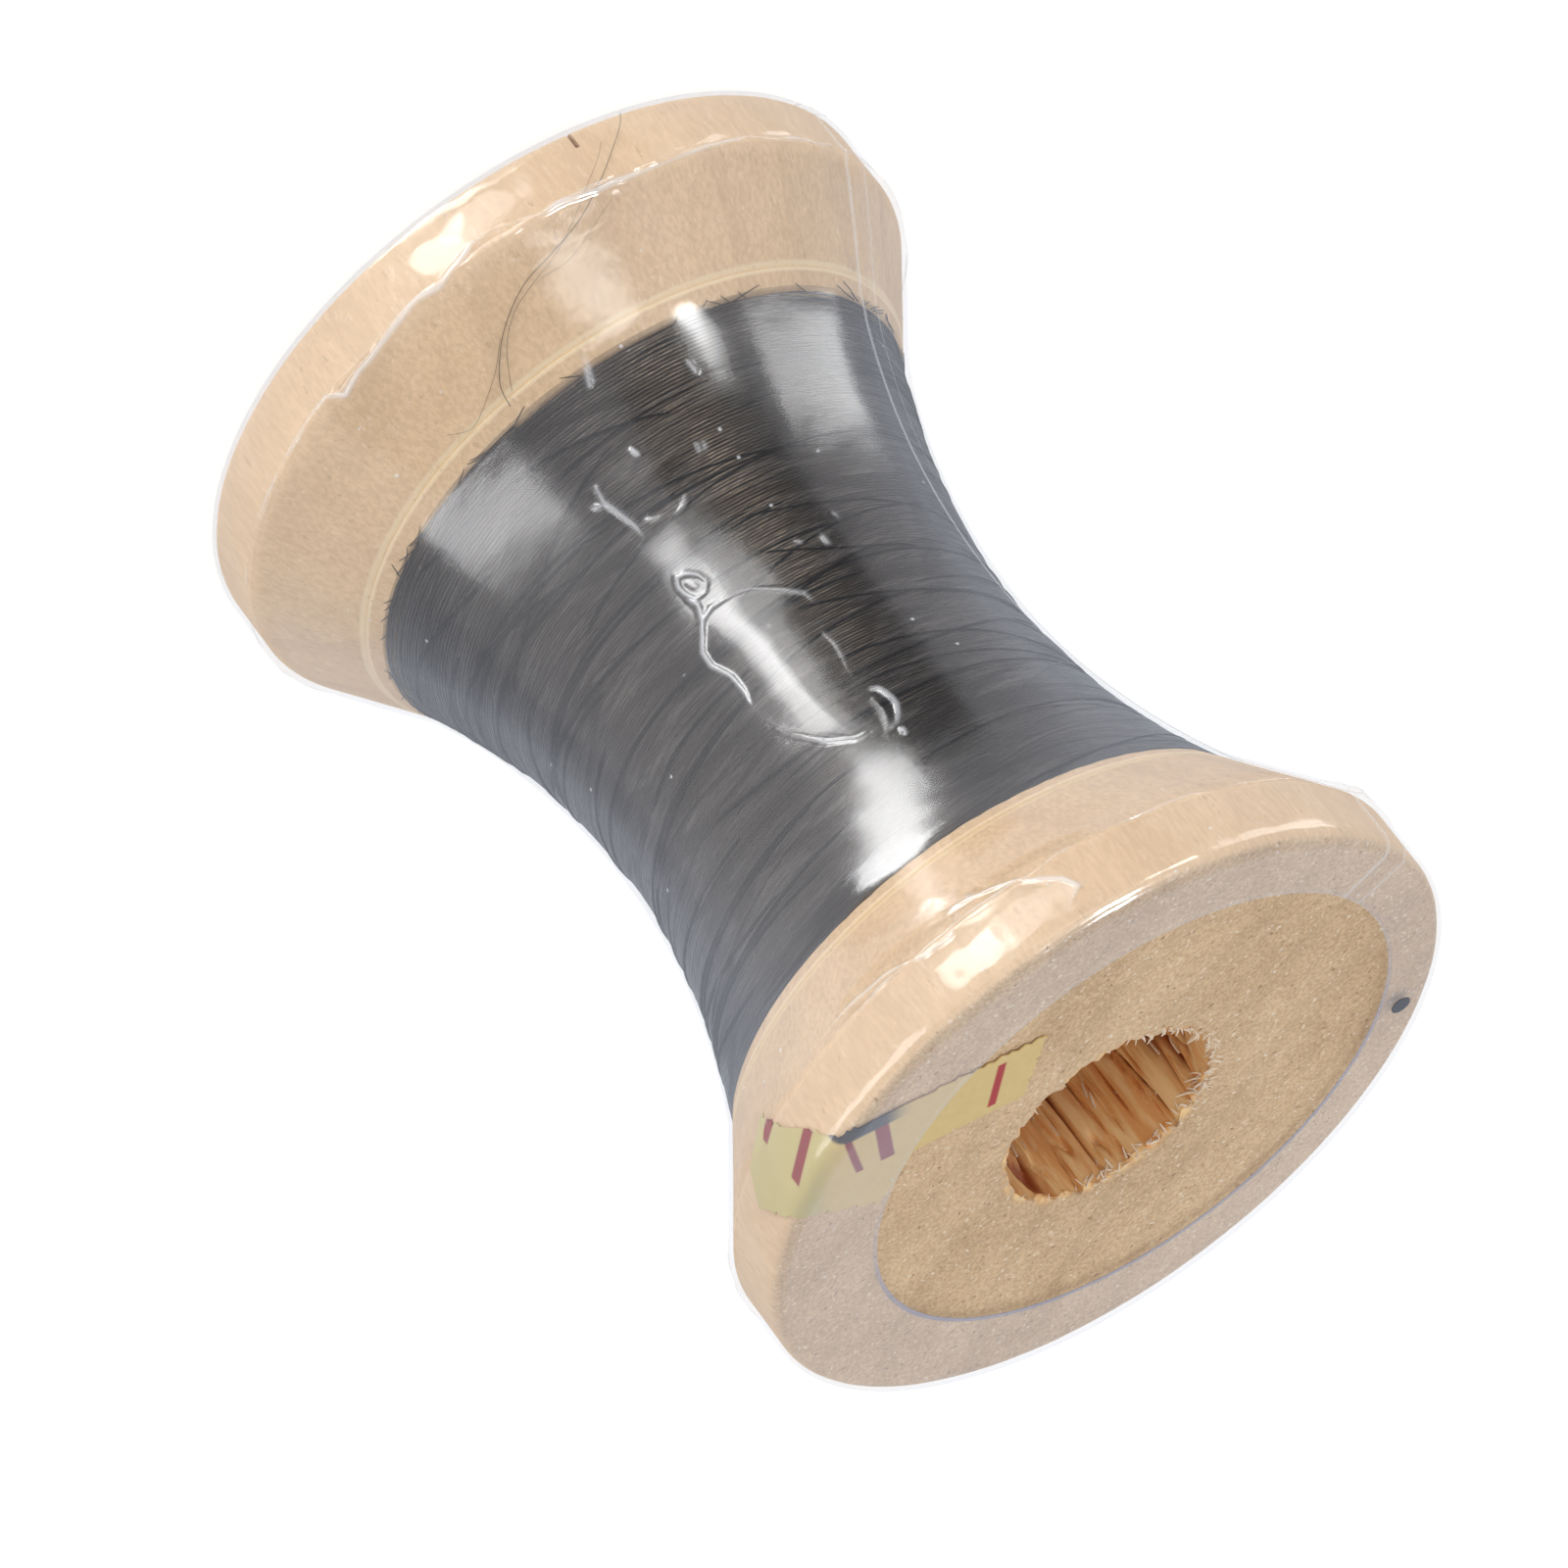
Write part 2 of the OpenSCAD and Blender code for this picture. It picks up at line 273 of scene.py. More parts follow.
def build_groups():
    # Where a point lies about the spool's axis and how far from the nearer end, in
    # millimetres and degrees.
    tree, _, made = group("about_axis", {}, ("Angle", "Radius", "Height", "End"),
                          ("Point", "Way"))
    point = scaled(node(tree, "TexCoord")["Object"], 1000.0)
    parts = node(tree, "SeparateXYZ", {0: point})
    flat = node(tree, "CombineXYZ", {0: parts[0], 1: parts[1]})
    put_out(made, Point=point, Way=vector("NORMALIZE", flat),
            Angle=maths("ARCTAN2", parts[1], parts[0]) * 57.29578,
            Radius=vector("LENGTH", flat)["Value"], Height=parts[2],
            End=maths("MINIMUM", parts[2], FULL - parts[2]))

    # Fine maple: fibres along the axis, which show as specks where they are cut across.
    tree, given, made = group("maple_figure", {"Point": (0, 0, 0)},
                              ("Tone", "Pores", "Flecks", "Rings", "Fuzz"))
    point = given["Point"]
    along = vector("MULTIPLY", point, (1, 1, 0.28))

    def specks(scale, wide, low):
        shaken = vector("ADD", along, scaled(speckle(point, 4.0)[1], 0.35))
        cells = node(tree, "TexVoronoi", {"Vector": shaken, "Scale": scale})["Distance"]
        gate = ramp(speckle(along, scale * 0.7, 1.0), low, low + 0.1)
        return ramp(cells, wide, wide * 0.6) * gate
    fine = ramp(speckle(along, 6.5, 3.0, 0.7), 0.38, 0.62)
    coarse = ramp(speckle(along, 1.7), 0.32, 0.68)
    broad = ramp(speckle(point, 0.15), 0.35, 0.65)
    pith = vector("ADD", point, (34, -52, 0))
    bent = vector("ADD", pith, scaled(speckle(point, 0.09, 1.0)[1], 5.0))
    ring = maths("FRACT", vector("LENGTH", vector("MULTIPLY", bent, (1, 1, 0)))["Value"] / 3.1)
    put_out(made, Tone=fine * 0.5 + (coarse * 0.2 + broad * 0.3), Pores=specks(3.1, 0.24, 0.49),
            Flecks=specks(3.7, 0.28, 0.46), Rings=ramp(ring, 0.6, 0.96) * ramp(ring, 1.0, 0.96),
            Fuzz=speckle(along, 5.5, 4.0, 0.7))

    # Silk laid round and round: streaks that run about the axis with a little wander, and thin gap
    # lines that the silk paints dark as painted shade between the threads.
    tree, given, made = group(
        "silk_lay", {"Way": (0, 0, 0), "Height": 0.0, "Length": 2.2, "Fineness": 7.0,
                     "Slope": 0.0}, ("Streak", "Strand", "Gap"))
    way, height = given["Way"], given["Height"]
    wander = speckle(vector("ADD", way, node(tree, "CombineXYZ", {2: height * 0.14})), 1.3, 1.0)
    lift = height + wander * 1.4 + node(tree, "SeparateXYZ", {0: way}) * given["Slope"]
    rows = node(tree, "CombineXYZ", {2: lift * given["Fineness"]})
    place = vector("ADD", scaled(way, given["Length"]), rows)
    put_out(made, Streak=speckle(place, 1.0, 3.0, 0.6),
            Strand=speckle(vector("MULTIPLY", place, (1.5, 1.5, 2.6)), 1.0, 2.0, 0.7),
            Gap=ramp(abs(speckle(place, 1.0, 0.0) - 0.5), 0.045, 0.02))


# ---------------------------------------------------------------- finishes

def finish_of(name, slot_name=None):
    """A new, empty material and its tree, with the slot that it belongs to."""
    made = bpy.data.materials.new(name)
    made.use_nodes = True
    made.node_tree.nodes.clear()
    if slot_name:
        made["slot"] = slot_name
    return made, made.node_tree


def finished(made, surface):
    node(made.node_tree, "OutputMaterial", {"Surface": surface})
    return made


def skin(made, sockets):
    return finished(made, node(made.node_tree, "BsdfPrincipled", sockets))


def maple():
    made, tree = finish_of("maple", "maple")
    axis = use(tree, "about_axis")
    radius = axis["Radius"]
    figure = use(tree, "maple_figure", Point=axis["Point"])
    end = ramp(axis["End"], 0.5, 0.34)
    bore = ramp(radius, 5.0, 4.5) * (1.0 - end)
    # The figure is calmer on the turned sides than where the grain is cut across.
    tone = maths("MULTIPLY_ADD", figure["Tone"] - 0.5, 0.55 + end * 0.45, 0.5)
    body = blend(tone, (0.53, 0.34, 0.18, 1), (0.86, 0.635, 0.40, 1))
    body = blend(figure["Rings"] * 0.2, body, (0.50, 0.33, 0.19, 1))
    # Painted light: the rims are painted paler and warmer, for the stronger light that falls on
    # their sides.
    body = blend(ramp(radius, 12.45, 12.65) * 0.28, body, (0.95, 0.70, 0.46, 1))
    # Painted highlight: the turned line near each cone's foot is painted pale cream, for the light
    # that its lip catches.
    line = ramp(abs(axis["End"] - (BASE + LINE_Z + 0.02)), 0.2, 0.1)
    body = blend(line * 0.6, body, (0.95, 0.80, 0.55, 1))
    body = blend(figure["Pores"] * (0.26 + end * 0.55), body, (0.34, 0.20, 0.10, 1))
    body = blend(figure["Flecks"] * (0.22 + end * 0.58), body, (0.93, 0.80, 0.64, 1))
    # Torn wood in the bore: pale splinters between splits. The bore is painted a deep orange as
    # painted bounce light from the wood around it, and the deepest splits are painted dark
    # red-brown as painted shade.
    split = speckle(vector("MULTIPLY", axis["Point"], (1, 1, 0.09)), 2.2, 4.0, 0.65)
    torn_wood_and_painted_light = blend(ramp(split, 0.36, 0.6), (0.82, 0.40, 0.13, 1), (1.0, 0.70, 0.34, 1))
    torn_wood_and_painted_light = blend(figure["Flecks"] * 0.3, torn_wood_and_painted_light, (0.96, 0.76, 0.48, 1))
    # Painted shade: dark red-brown where the splits go deepest.
    torn_wood_and_painted_light = blend(ramp(radius, 4.02, 4.3), torn_wood_and_painted_light, (0.42, 0.11, 0.018, 1))
    return skin(made, {"Base Color": blend(bore, body, torn_wood_and_painted_light), "IOR": 1.4,
                       "Roughness": 0.62 + figure["Tone"] * 0.2,
                       "Normal": bumped(figure["Fuzz"] * (0.45 + end), 0.6, 0.00009)})


def silk(name, painted_sheen=1.0, depth=1.0):
    """Dark silk: fine brushed streaks about the axis, a brown shine across the threads, lighter
    brown glints painted in as painted highlight, and dark gap lines painted in as painted shade.
    """
    made, tree = finish_of(name, "dark_thread")
    axis = use(tree, "about_axis")
    black = (0.001, 0.001, 0.0015, 1)

    def lay(long, fineness, slope):
        return use(tree, "silk_lay", Way=axis["Way"], Height=axis["Height"], Length=long,
                   Fineness=fineness, Slope=slope)
    comb, brush, bundle = lay(2.2, 3.4, 0.6), lay(3.4, 6.5, -0.8), lay(1.4, 1.3, 0.3)
    tone = ramp(comb["Streak"], 0.32, 0.70) * 0.45 + ramp(brush["Streak"], 0.36, 0.66) * 0.55
    colour = blend(maths("POWER", tone, 1.6), (0.003, 0.003, 0.0035, 1),
                   (0.095, 0.090, 0.088, 1))
    # Painted highlight: sparse lighter brown strands are painted into the colour as glints, more
    # of them for a higher second argument.
    painted_glint = ramp(brush["Strand"], 0.56, 0.70) * (0.5 * painted_sheen)
    colour = blend(painted_glint, colour, (0.10, 0.080, 0.064, 1))
    colour = blend(ramp(bundle["Streak"], 0.42, 0.58) * 0.6, colour, (0.006, 0.006, 0.006, 1))
    # Painted shade: thin dark lines between groups of threads.
    line = maths("MAXIMUM", lay(0.5, 0.8, 1.3)["Gap"], lay(0.7, 0.6, -1.1)["Gap"])
    # Painted shade: with depth below 1 the whole colour goes nearly black, for strands that stand
    # for shadow lines.
    colour = blend(1.0 - depth, blend(line * 0.95, colour, black), black)
    return skin(made, {
        "Base Color": colour,
        "Roughness": 0.27 + ramp(brush["Strand"], 0.62, 0.42) * 0.11 + line * 0.1,
        "IOR": 1.5, "Specular IOR Level": 0.32 * depth, "Specular Tint": (1.0, 0.78, 0.58, 1),
        "Anisotropic": 0.97, "Anisotropic Rotation": 0.25,
        "Tangent": node(tree, "Tangent", direction_type="RADIAL", axis="Z"),
        "Normal": bumped(brush["Strand"] + comb["Streak"] * 2.0, 0.7, 0.00006)})


def clear_film():
    made, tree = finish_of("clear_film", "clear_film")
    axis = use(tree, "about_axis")
    point, angle, height, radius = (axis[n] for n in ("Point", "Angle", "Height", "Radius"))
    welt = node(tree, "Attribute", attribute_name="welt")["Fac"]
    on_rim = ramp(radius, 12.2, 12.75)
    on_silk = ramp(radius, 10.5, 9.7)
    on_end = ramp(axis["End"], 0.4, 0.2)

    # Slack in millimetres of relief: long soft ripples, and the grain of what it lies on.
    # Over each rim the film bellies out a little between the two edges.
    up = abs(height - MID) - (LENGTH / 2 - RIM_W / 2)
    belly = maths("MINIMUM", up * up, 1.4) * -0.14
    relief = (speckle(point, 0.5, 1.0) * 0.035 + speckle(point, 2.2) * 0.004
              + speckle(point, 0.75, 1.0) * 0.10 * on_rim + belly)
    bump = bumped(relief, 1.0, 0.001)

    # Both faces of the film mirror, and it does so less where it lies loose on a rim.
    fresnel = node(tree, "Fresnel", {"IOR": 1.5, "Normal": bump})
    twice = maths("MULTIPLY_ADD", fresnel * 2.0 / (fresnel + 1.0), 0.72, 0.021)
    twice = maths("MINIMUM", twice, 0.19)
    front = 1.0 - node(tree, "NewGeometry")["Backfacing"]
    rough = 0.12 + on_rim * 0.03 + on_silk * 0.08 - welt * 0.08
    clear = node(tree, "BsdfTransparent", {"Color": (0.996, 0.996, 0.997, 1)})
    gloss = node(tree, "BsdfGlossy", {"Color": (1, 1, 1, 1), "Roughness": rough,
                                      "Normal": bump})
    film = node(tree, "MixShader", {0: twice * (1.0 - on_rim * 0.4) * front, 1: clear, 2: gloss})

    # The bluish cut edges of the two openings, brighter on the side that the light meets.
    moved = vector("ADD", point, (HOLE_SHIFT, 0, 0))
    from_hole = vector("LENGTH", vector("MULTIPLY", moved, (1, 1, 0)))["Value"]
    lit = ramp(maths("COSINE", (angle - 70.0) * (math.pi / 180)), -0.35, 0.6)
    high_cut = ramp(from_hole, HOLE_R + 0.2, HOLE_R + 0.1) * ramp(height, 34.5, 34.7)
    low_cut = ramp(radius, HOLE_R + 0.2, HOLE_R + 0.1) * ramp(height, 0.5, 0.3)
    edge = maths("MAXIMUM", high_cut, low_cut) * (0.12 + lit * 0.55)

    # Milky marks: the lap seam's edges, dust and the folds, the folds partly painted highlight,
    # and the rims get a painted reflection. A veil lies over all.
    motes = node(tree, "TexVoronoi", {"Vector": point, "Scale": 0.75})["Distance"]
    # Painted highlight: the creases are painted milky white, partly the film's own whitening at a
    # fold and partly for the lamps' glints on their curves.
    milky_and_painted_shine = maths("MAXIMUM", ramp(motes, 0.07, 0.03) * 0.45, welt * 0.42)
    # Painted reflection: a faint even white on the rims, in place of the gloss taken off them.
    milky_and_painted_shine = maths("MAXIMUM", milky_and_painted_shine, on_rim * 0.04)
    for at, wide in ((-163.4, 0.7), (-169.0, 0.5)):
        milky_and_painted_shine = maths("MAXIMUM", milky_and_painted_shine, ramp(abs(angle - at), wide, wide * 0.4) * 0.3)
    for share, colour in ((0.015 + on_end * 0.04, (0.58, 0.64, 0.80, 1)),
                          (milky_and_painted_shine, (0.88, 0.90, 0.94, 1)), (edge, (0.36, 0.40, 0.55, 1))):
        shade = node(tree, "BsdfDiffuse", {"Color": colour})
        film = node(tree, "MixShader", {0: share * front, 1: film, 2: shade})
    return finished(made, film)


def printed_paper():
    made, tree = finish_of("printed_paper", "label_paper")
    axis = use(tree, "about_axis")
    turn = (0, 0, math.radians(-LABEL_RUN))
    place = node(tree, "SeparateXYZ", {
        0: node(tree, "Mapping", {"Vector": axis["Point"], "Rotation": turn})})
    # Past the fold, the way down the rim goes on as length along the strip.
    run, across = place[0] + (34.85 - axis["Height"]) * 1.1, place[1] + LABEL_OFF
    fibre = speckle(axis["Point"], 3.0, 3.0, 0.6)
    paper = blend(fibre, (0.65, 0.475, 0.175, 1), (0.78, 0.585, 0.26, 1))
    bars = 0.0
    for at, wide, lean in ((5.0, 0.16, 0.10), (9.2, 0.26, -0.2), (10.35, 0.14, -0.3),
                           (12.7, 0.24, 0.05), (14.6, 0.2, 0.12)):
        off = abs(run - (at + across * lean))
        bars = maths("MAXIMUM", ramp(off, wide + 0.05, wide - 0.05), bars)
    # The print has kept its depth under the film, and past the fold the paper is darker and
    # duller.
    paper = blend(ramp(run, 10.8, 11.8) * 0.7, paper, (0.50, 0.45, 0.19, 1))
    red = blend(ramp(run, 7.4, 8.2), (0.42, 0.012, 0.014, 1), (0.27, 0.004, 0.008, 1))
    paper = blend(bars * ramp(abs(across), 1.15, 1.05), paper, red)
    # Painted shade: a dark slate band along the strip's upper edge near the fold, for the shadow
    # under the film lifted there, drawn as a dark printed margin.
    slate_fold_shade = ramp(across, -0.85, -1.0) * ramp(run, 8.2, 9.4) * ramp(run, 12.4, 12.2)
    paper = blend(slate_fold_shade, paper, (0.028, 0.026, 0.036, 1))
    return skin(made, {"Base Color": paper, "Roughness": 0.6,
                       "Normal": bumped(fibre, 0.3, 0.00004)})


def ink():
    made, tree = finish_of("ink", "clear_film")
    tone = speckle(use(tree, "about_axis")["Point"], 4.0)
    colour = blend(tone, (0.035, 0.04, 0.055, 1), (0.07, 0.075, 0.09, 1))
    return skin(made, {"Base Color": colour, "Roughness": 0.4})


def frayed_wood():
    made, tree = finish_of("frayed_wood", "maple")
    figure = use(tree, "maple_figure", Point=use(tree, "about_axis")["Point"])
    colour = blend(figure["Fuzz"], (0.72, 0.52, 0.33, 1), (0.92, 0.82, 0.68, 1))
    return skin(made, {"Base Color": colour, "Roughness": 0.7})


# ---------------------------------------------------------------- making the pieces

def around(r, a, z):
    """The place at that radius, angle and height."""
    return r * math.cos(a), r * math.sin(a), z


def angle_of(p):
    return math.atan2(p.y, p.x)


def lumps(a, scale, run, aside=0, back=0):
    """Soft noise round the axis at angle a, with run as its third place."""
    return noise.noise(Vector((math.cos(a) * scale + aside, math.sin(a) * scale + back, run)))


def rounded(corners, steps=5):
    """The outline through corners of (radius, height, fillet), each fillet as a small arc."""
    out = []
    for i, (r, z, fillet) in enumerate(corners):
        if fillet == 0 or i in (0, len(corners) - 1):
            out.append((r, z))
            continue
        here = Vector((r, z))
        back = (Vector(corners[i - 1][:2]) - here).normalized()
        ahead = (Vector(corners[i + 1][:2]) - here).normalized()
        half = back.angle(ahead) / 2
        centre = here + (back + ahead).normalized() * (fillet / math.sin(half))
        start = here + back * (fillet / math.tan(half)) - centre
        turn = start.angle_signed(here + ahead * (fillet / math.tan(half)) - centre)
        for k in range(steps + 1):
            t = -turn * k / steps
            p = centre + Vector((start.x * math.cos(t) - start.y * math.sin(t),
                                 start.x * math.sin(t) + start.y * math.cos(t)))
            out.append((p.x, p.y))
    return out


def closer(points, step):
    """The same outline, with points at most step apart."""
    out = [points[0]]
    for (r, z), (r2, z2) in zip(points, points[1:]):
        n = max(1, math.ceil(math.dist((r, z), (r2, z2)) / step))
        out += [(r + (r2 - r) * k / n, z + (z2 - z) * k / n) for k in range(1, n + 1)]
    return out


def flipped(points):
    return [(r, FULL - z) for r, z in reversed(points)]


def face_at(z, out):
    """Radius of the winding's face at that height, moved out by out."""
    return WAIST_R + FACE_R - math.sqrt((FACE_R - out) ** 2 - (z - MID) ** 2)


def turned(name, outline, steps):
    """One vertex, drawn out along the outline and spun about the spool's axis."""
    bpy.ops.mesh.primitive_plane_add(size=MM)
    piece = bpy.context.object
    piece.name = piece.data.name = name
    bpy.ops.object.mode_set(mode="EDIT")
    bpy.ops.mesh.merge(type="CENTER")
    bpy.ops.transform.translate(value=(outline[0][0] * MM, 0, outline[0][1] * MM))
    for (r, z), (r2, z2) in zip(outline, outline[1:]):
        bpy.ops.mesh.extrude_region_move(
            TRANSFORM_OT_translate={"value": ((r2 - r) * MM, 0, (z2 - z) * MM)})
    bpy.ops.mesh.select_all(action="SELECT")
    bpy.ops.mesh.spin(steps=steps, angle=2 * math.pi, center=(0, 0, 0), axis=(0, 0, 1))
    bpy.ops.mesh.select_all(action="SELECT")
    bpy.ops.mesh.remove_doubles(threshold=0.000004)
    bpy.ops.mesh.normals_make_consistent(inside=False)
    bpy.ops.object.mode_set(mode="OBJECT")
    return piece


def choose(piece, test):
    """Selects, in edit mode, the vertices whose place in millimetres passes the test."""
    bpy.ops.mesh.select_all(action="DESELECT")
    mesh = bmesh.from_edit_mesh(piece.data)
    mesh.select_mode = {"VERT"}
    for v in mesh.verts:
        v.select = test(v.co / MM)
    mesh.select_flush(True)
    bmesh.update_edit_mesh(piece.data)


def pick(*pieces):
    bpy.ops.object.select_all(action="DESELECT")
    for piece in pieces:
        piece.select_set(True)
    bpy.context.view_layer.objects.active = pieces[0]


def reshape(piece, kind, **settings):
    """Gives the piece a modifier with those settings, and applies it."""
    change = piece.modifiers.new("change", kind)
    for name, value in settings.items():
        setattr(change, name, value)
    pick(piece)
    bpy.ops.object.modifier_apply(modifier="change")


def named_part(piece, name, weight):
    """A vertex group of what weight, a list or a function of the place, puts above 0."""
    if not isinstance(weight, list):
        weight = [weight(v.co / MM) for v in piece.data.vertices]
    part = piece.vertex_groups.new(name=name)
    for i, w in enumerate(weight):
        if w > 0:
            part.add([i], min(w, 1.0), "REPLACE")


def push_out(piece, part, weight, amount, way="NORMAL"):
    """Moves a new part of the piece by its weights, amount millimetres at most."""
    named_part(piece, part, weight)
    reshape(piece, "DISPLACE", vertex_group=part, direction=way, strength=amount * MM,
            mid_level=0)


def roughen(piece, size, strength, detail, part="", high=1, way="NORMAL", middle=0.5):
    """Pushes the surface in and out by a cloudy pattern of that size and strength."""
    clouds = bpy.data.textures.new(piece.name + "_clouds", "CLOUDS")
    clouds.noise_scale = 1.0
    clouds.noise_depth = detail
    bpy.ops.object.empty_add(location=(0, 0, 0))
    guide = bpy.context.object
    guide.scale = [size * MM * s for s in (1, 1, high)]
    bpy.context.view_layer.update()
    reshape(piece, "DISPLACE", texture=clouds, texture_coords="OBJECT",
            texture_coords_object=guide, direction=way, strength=strength * MM,
            mid_level=middle, vertex_group=part)
    bpy.data.objects.remove(guide)


def settle(piece, material, *stands_for, smooth=180):
    """Gives a finished piece its shading, its material and its place in the frame."""
    pick(piece)
    if smooth < 180:
        bpy.ops.object.shade_smooth_by_angle(angle=math.radians(smooth))
    else:
        bpy.ops.object.shade_smooth()
    piece.data.materials.clear()
    piece.data.materials.append(material)
    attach(piece, "root")
    if stands_for:
        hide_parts(*stands_for)
    bpy.ops.object.select_all(action="DESELECT")


def strands(name, runs, thickness, flat=None):
    """Threads through runs of (x, y, z, width share) in millimetres, as one mesh.

    With flat, each is a flattened thread that stands thickness high and flat deep.
    """
    line = bpy.data.curves.new(name, "CURVE")
    line.dimensions = "3D"
    line.use_fill_caps = True
    if flat is None:
        line.bevel_depth = thickness / 2 * MM
        line.bevel_resolution = 1
    else:
        section = bpy.data.curves.new(name + "_section", "CURVE")
        oval = section.splines.new("POLY")
        oval.points.add(5)
        h, w = thickness / 2 * MM, flat / 2 * MM
        for spot, (u, v) in zip(oval.points, ((-w, 0), (-w * 0.8, -h * 0.62), (w * 0.3, -h),
                                              (w, 0), (w * 0.3, h), (-w * 0.8, h * 0.62))):
            spot.co = (u, v, 0, 1)
        oval.use_cyclic_u = True
        line.bevel_mode = "OBJECT"
        line.bevel_object = bpy.data.objects.new(name + "_section", section)
        line.twist_mode = "Z_UP"
    for run in runs:
        spline = line.splines.new("POLY")
        spline.points.add(len(run) - 1)
        spots = [c for x, y, z, _ in run for c in (x * MM, y * MM, z * MM, 1)]
        spline.points.foreach_set("co", spots)
        spline.points.foreach_set("radius", [w for *_, w in run])
    piece = bpy.data.objects.new(name, line)
    bpy.context.scene.collection.objects.link(piece)
    pick(piece)
    bpy.ops.object.convert(target="MESH")
    piece = bpy.context.object
    piece.data.name = name
    return piece


# ---------------------------------------------------------------- the wooden spool

def torn(a, z):
    """How deep the drill tore the bore's wall there, from 0 to 1: plates between splits."""
    run = z * 0.11 + 0.3 * math.sin(a)
    plates, fine = lumps(a, 2.3, run * 1.4), lumps(a, 15, run * 4)
    split, narrow = lumps(a, 3.3, run * 1.1, 4), lumps(a, 7, run * 1.6, 0, 2)
    deep = 0.65 * math.exp(-(split / 0.085) ** 2) + 0.35 * math.exp(-(narrow / 0.06) ** 2)
    return min(max(0.24 + 0.2 * math.tanh(5 * plates) + deep + 0.10 * fine, 0), 1)


def wooden_spool():
    mouth = [(BORE_WALL, BASE + 0.03)] + [(r, BASE) for r in (3.92, 4.04, 4.18, 4.35, 4.6)]
    side = rounded([(4.9, BASE, 0), (RIM_R, BASE, EDGE_R), (RIM_R, RIM_TOP, 0.12),
                    (FOOT_R + 0.55, LOW_FOOT - 0.88, 0)], 4)
    r, z = FOOT_R + (FOOT_Z - LINE_Z) * SLOPE, BASE + LINE_Z
    line = [(r + 0.12, z - 0.19), (r + 0.075, z - 0.11), (r - LINE_DEPTH, z),
            (r - 0.05, z + 0.09), (FOOT_R, LOW_FOOT), (BARREL_R, BASE + BARREL_Z)]
    half = mouth + closer(side, 0.42) + line
    bore = [(BORE_WALL, z) for z in
            [34.5 - 0.17 * k for k in range(40)] + [27, 26, 24, 22, 20, 17.5, 15, 13, 11, 9, 8]
            + [7.1 - 0.34 * k for k in range(20)]]
    spool = turned("turned_spool", half + flipped(half) + bore + [half[0]], 320)

    # The nick that the thread's end is drawn through.
    a = math.radians(-115)
    bpy.ops.mesh.primitive_cube_add(size=MM, rotation=(0, 0, a), scale=(1.2, 0.16, 1.5),
                                    location=[c * MM for c in around(RIM_R, a, BASE)])
    cutter = bpy.context.object
    reshape(spool, "BOOLEAN", operation="DIFFERENCE", object=cutter)
    bpy.data.objects.remove(cutter)

    def tears(p):
        if p.xy.length >= 3.85:
            return 0
        return torn(angle_of(p), p.z) * min(1, 0.35 + 0.5 * min(p.z - 0.3, 34.7 - p.z))

    def chipped(p):
        chip = 0.5 + 0.9 * lumps(angle_of(p), 9, p.xy.length * 2)
        return max(0, chip) * max(0, 1 - (p.xy.length - BORE_WALL) / 0.5)
    push_out(spool, "tears", tears, -TEAR)
    push_out(spool, "upper_mouth", lambda p: chipped(p) if p.z > 34.4 else 0, -0.34, "Z")
    push_out(spool, "lower_mouth", lambda p: chipped(p) if p.z < 0.6 else 0, 0.34, "Z")
    named_part(spool, "outside", lambda p: 1.0 if p.xy.length > 4.7 else 0)
    roughen(spool, 2.6, 0.025, 2, "outside")
    settle(spool, maple(), "spool_body", smooth=38)


def frayed_fibres():
    """Splinters round the torn mouth of the bore and along its wall, each rooted in the wood."""
    dice = random.Random(7)
    runs = []

    def sliver(a, z, rise, out, aside, curl, wide):
        root = BORE_WALL + TEAR * torn(a, z) * 0.4 + 0.06
        way = Vector(around(1, a, 0))
        turn = Vector((-way.y, way.x, 0))
        run = []
        for j in range(6):
            t = j / 5
            p = (way * (root + out * t - curl * t * t) + turn * (aside * t)
                 + Vector((0, 0, z + rise * t * (1 - 0.35 * t))))
            run.append((p.x, p.y, min(p.z, 34.93), wide * (1.0 - 0.75 * t * t)))
        runs.append(run)

    # How many, the sector in degrees, the height, and bounds of the rest.
    for count, sector, height, *bounds in (
            (110, (138, 242), lambda: 34.55 + dice.uniform(-0.1, 0.08),
             (0.1, 0.35), (-0.2, 0.4), (-0.35, 0.35), (-0.1, 0.3), (0.7, 1.7)),
            (60, (55, 150), lambda: 34.5 + dice.uniform(-0.15, 0.1),
             (-0.5, 0.1), (-0.35, -0.05), (-0.4, 0.4), (-0.2, 0.2), (0.6, 1.4)),
            (40, (0, 360), lambda: 34.56,
             (-0.15, 0.12), (-0.2, 0.2), (-0.25, 0.25), (-0.1, 0.2), (0.4, 0.9)),
            (14, (10, 175), lambda: 34.0 - abs(dice.gauss(0, 2.4)),
             (-0.4, -1.2), (-0.05, -0.2), (-0.25, 0.25), (0.0, -0.2), (0.6, 1.3))):
        for _ in range(count):
            a, z = math.radians(dice.uniform(*sector)), height()
            sliver(a, z, *[dice.uniform(*pair) for pair in bounds])
    settle(strands("frayed_fibres", runs, 0.085), frayed_wood())


# ---------------------------------------------------------------- the silk

def ledge(a, z):
    """Small steps of the winding's face, where one layer of thread stops short of the next."""
    broad, fine = lumps(a, 0.9, z * 0.2 + 3), lumps(a, 1.9, z * 0.5, 5)
    return 0.035 * math.tanh(6 * (broad + 0.3 * fine)) + 0.015 * fine


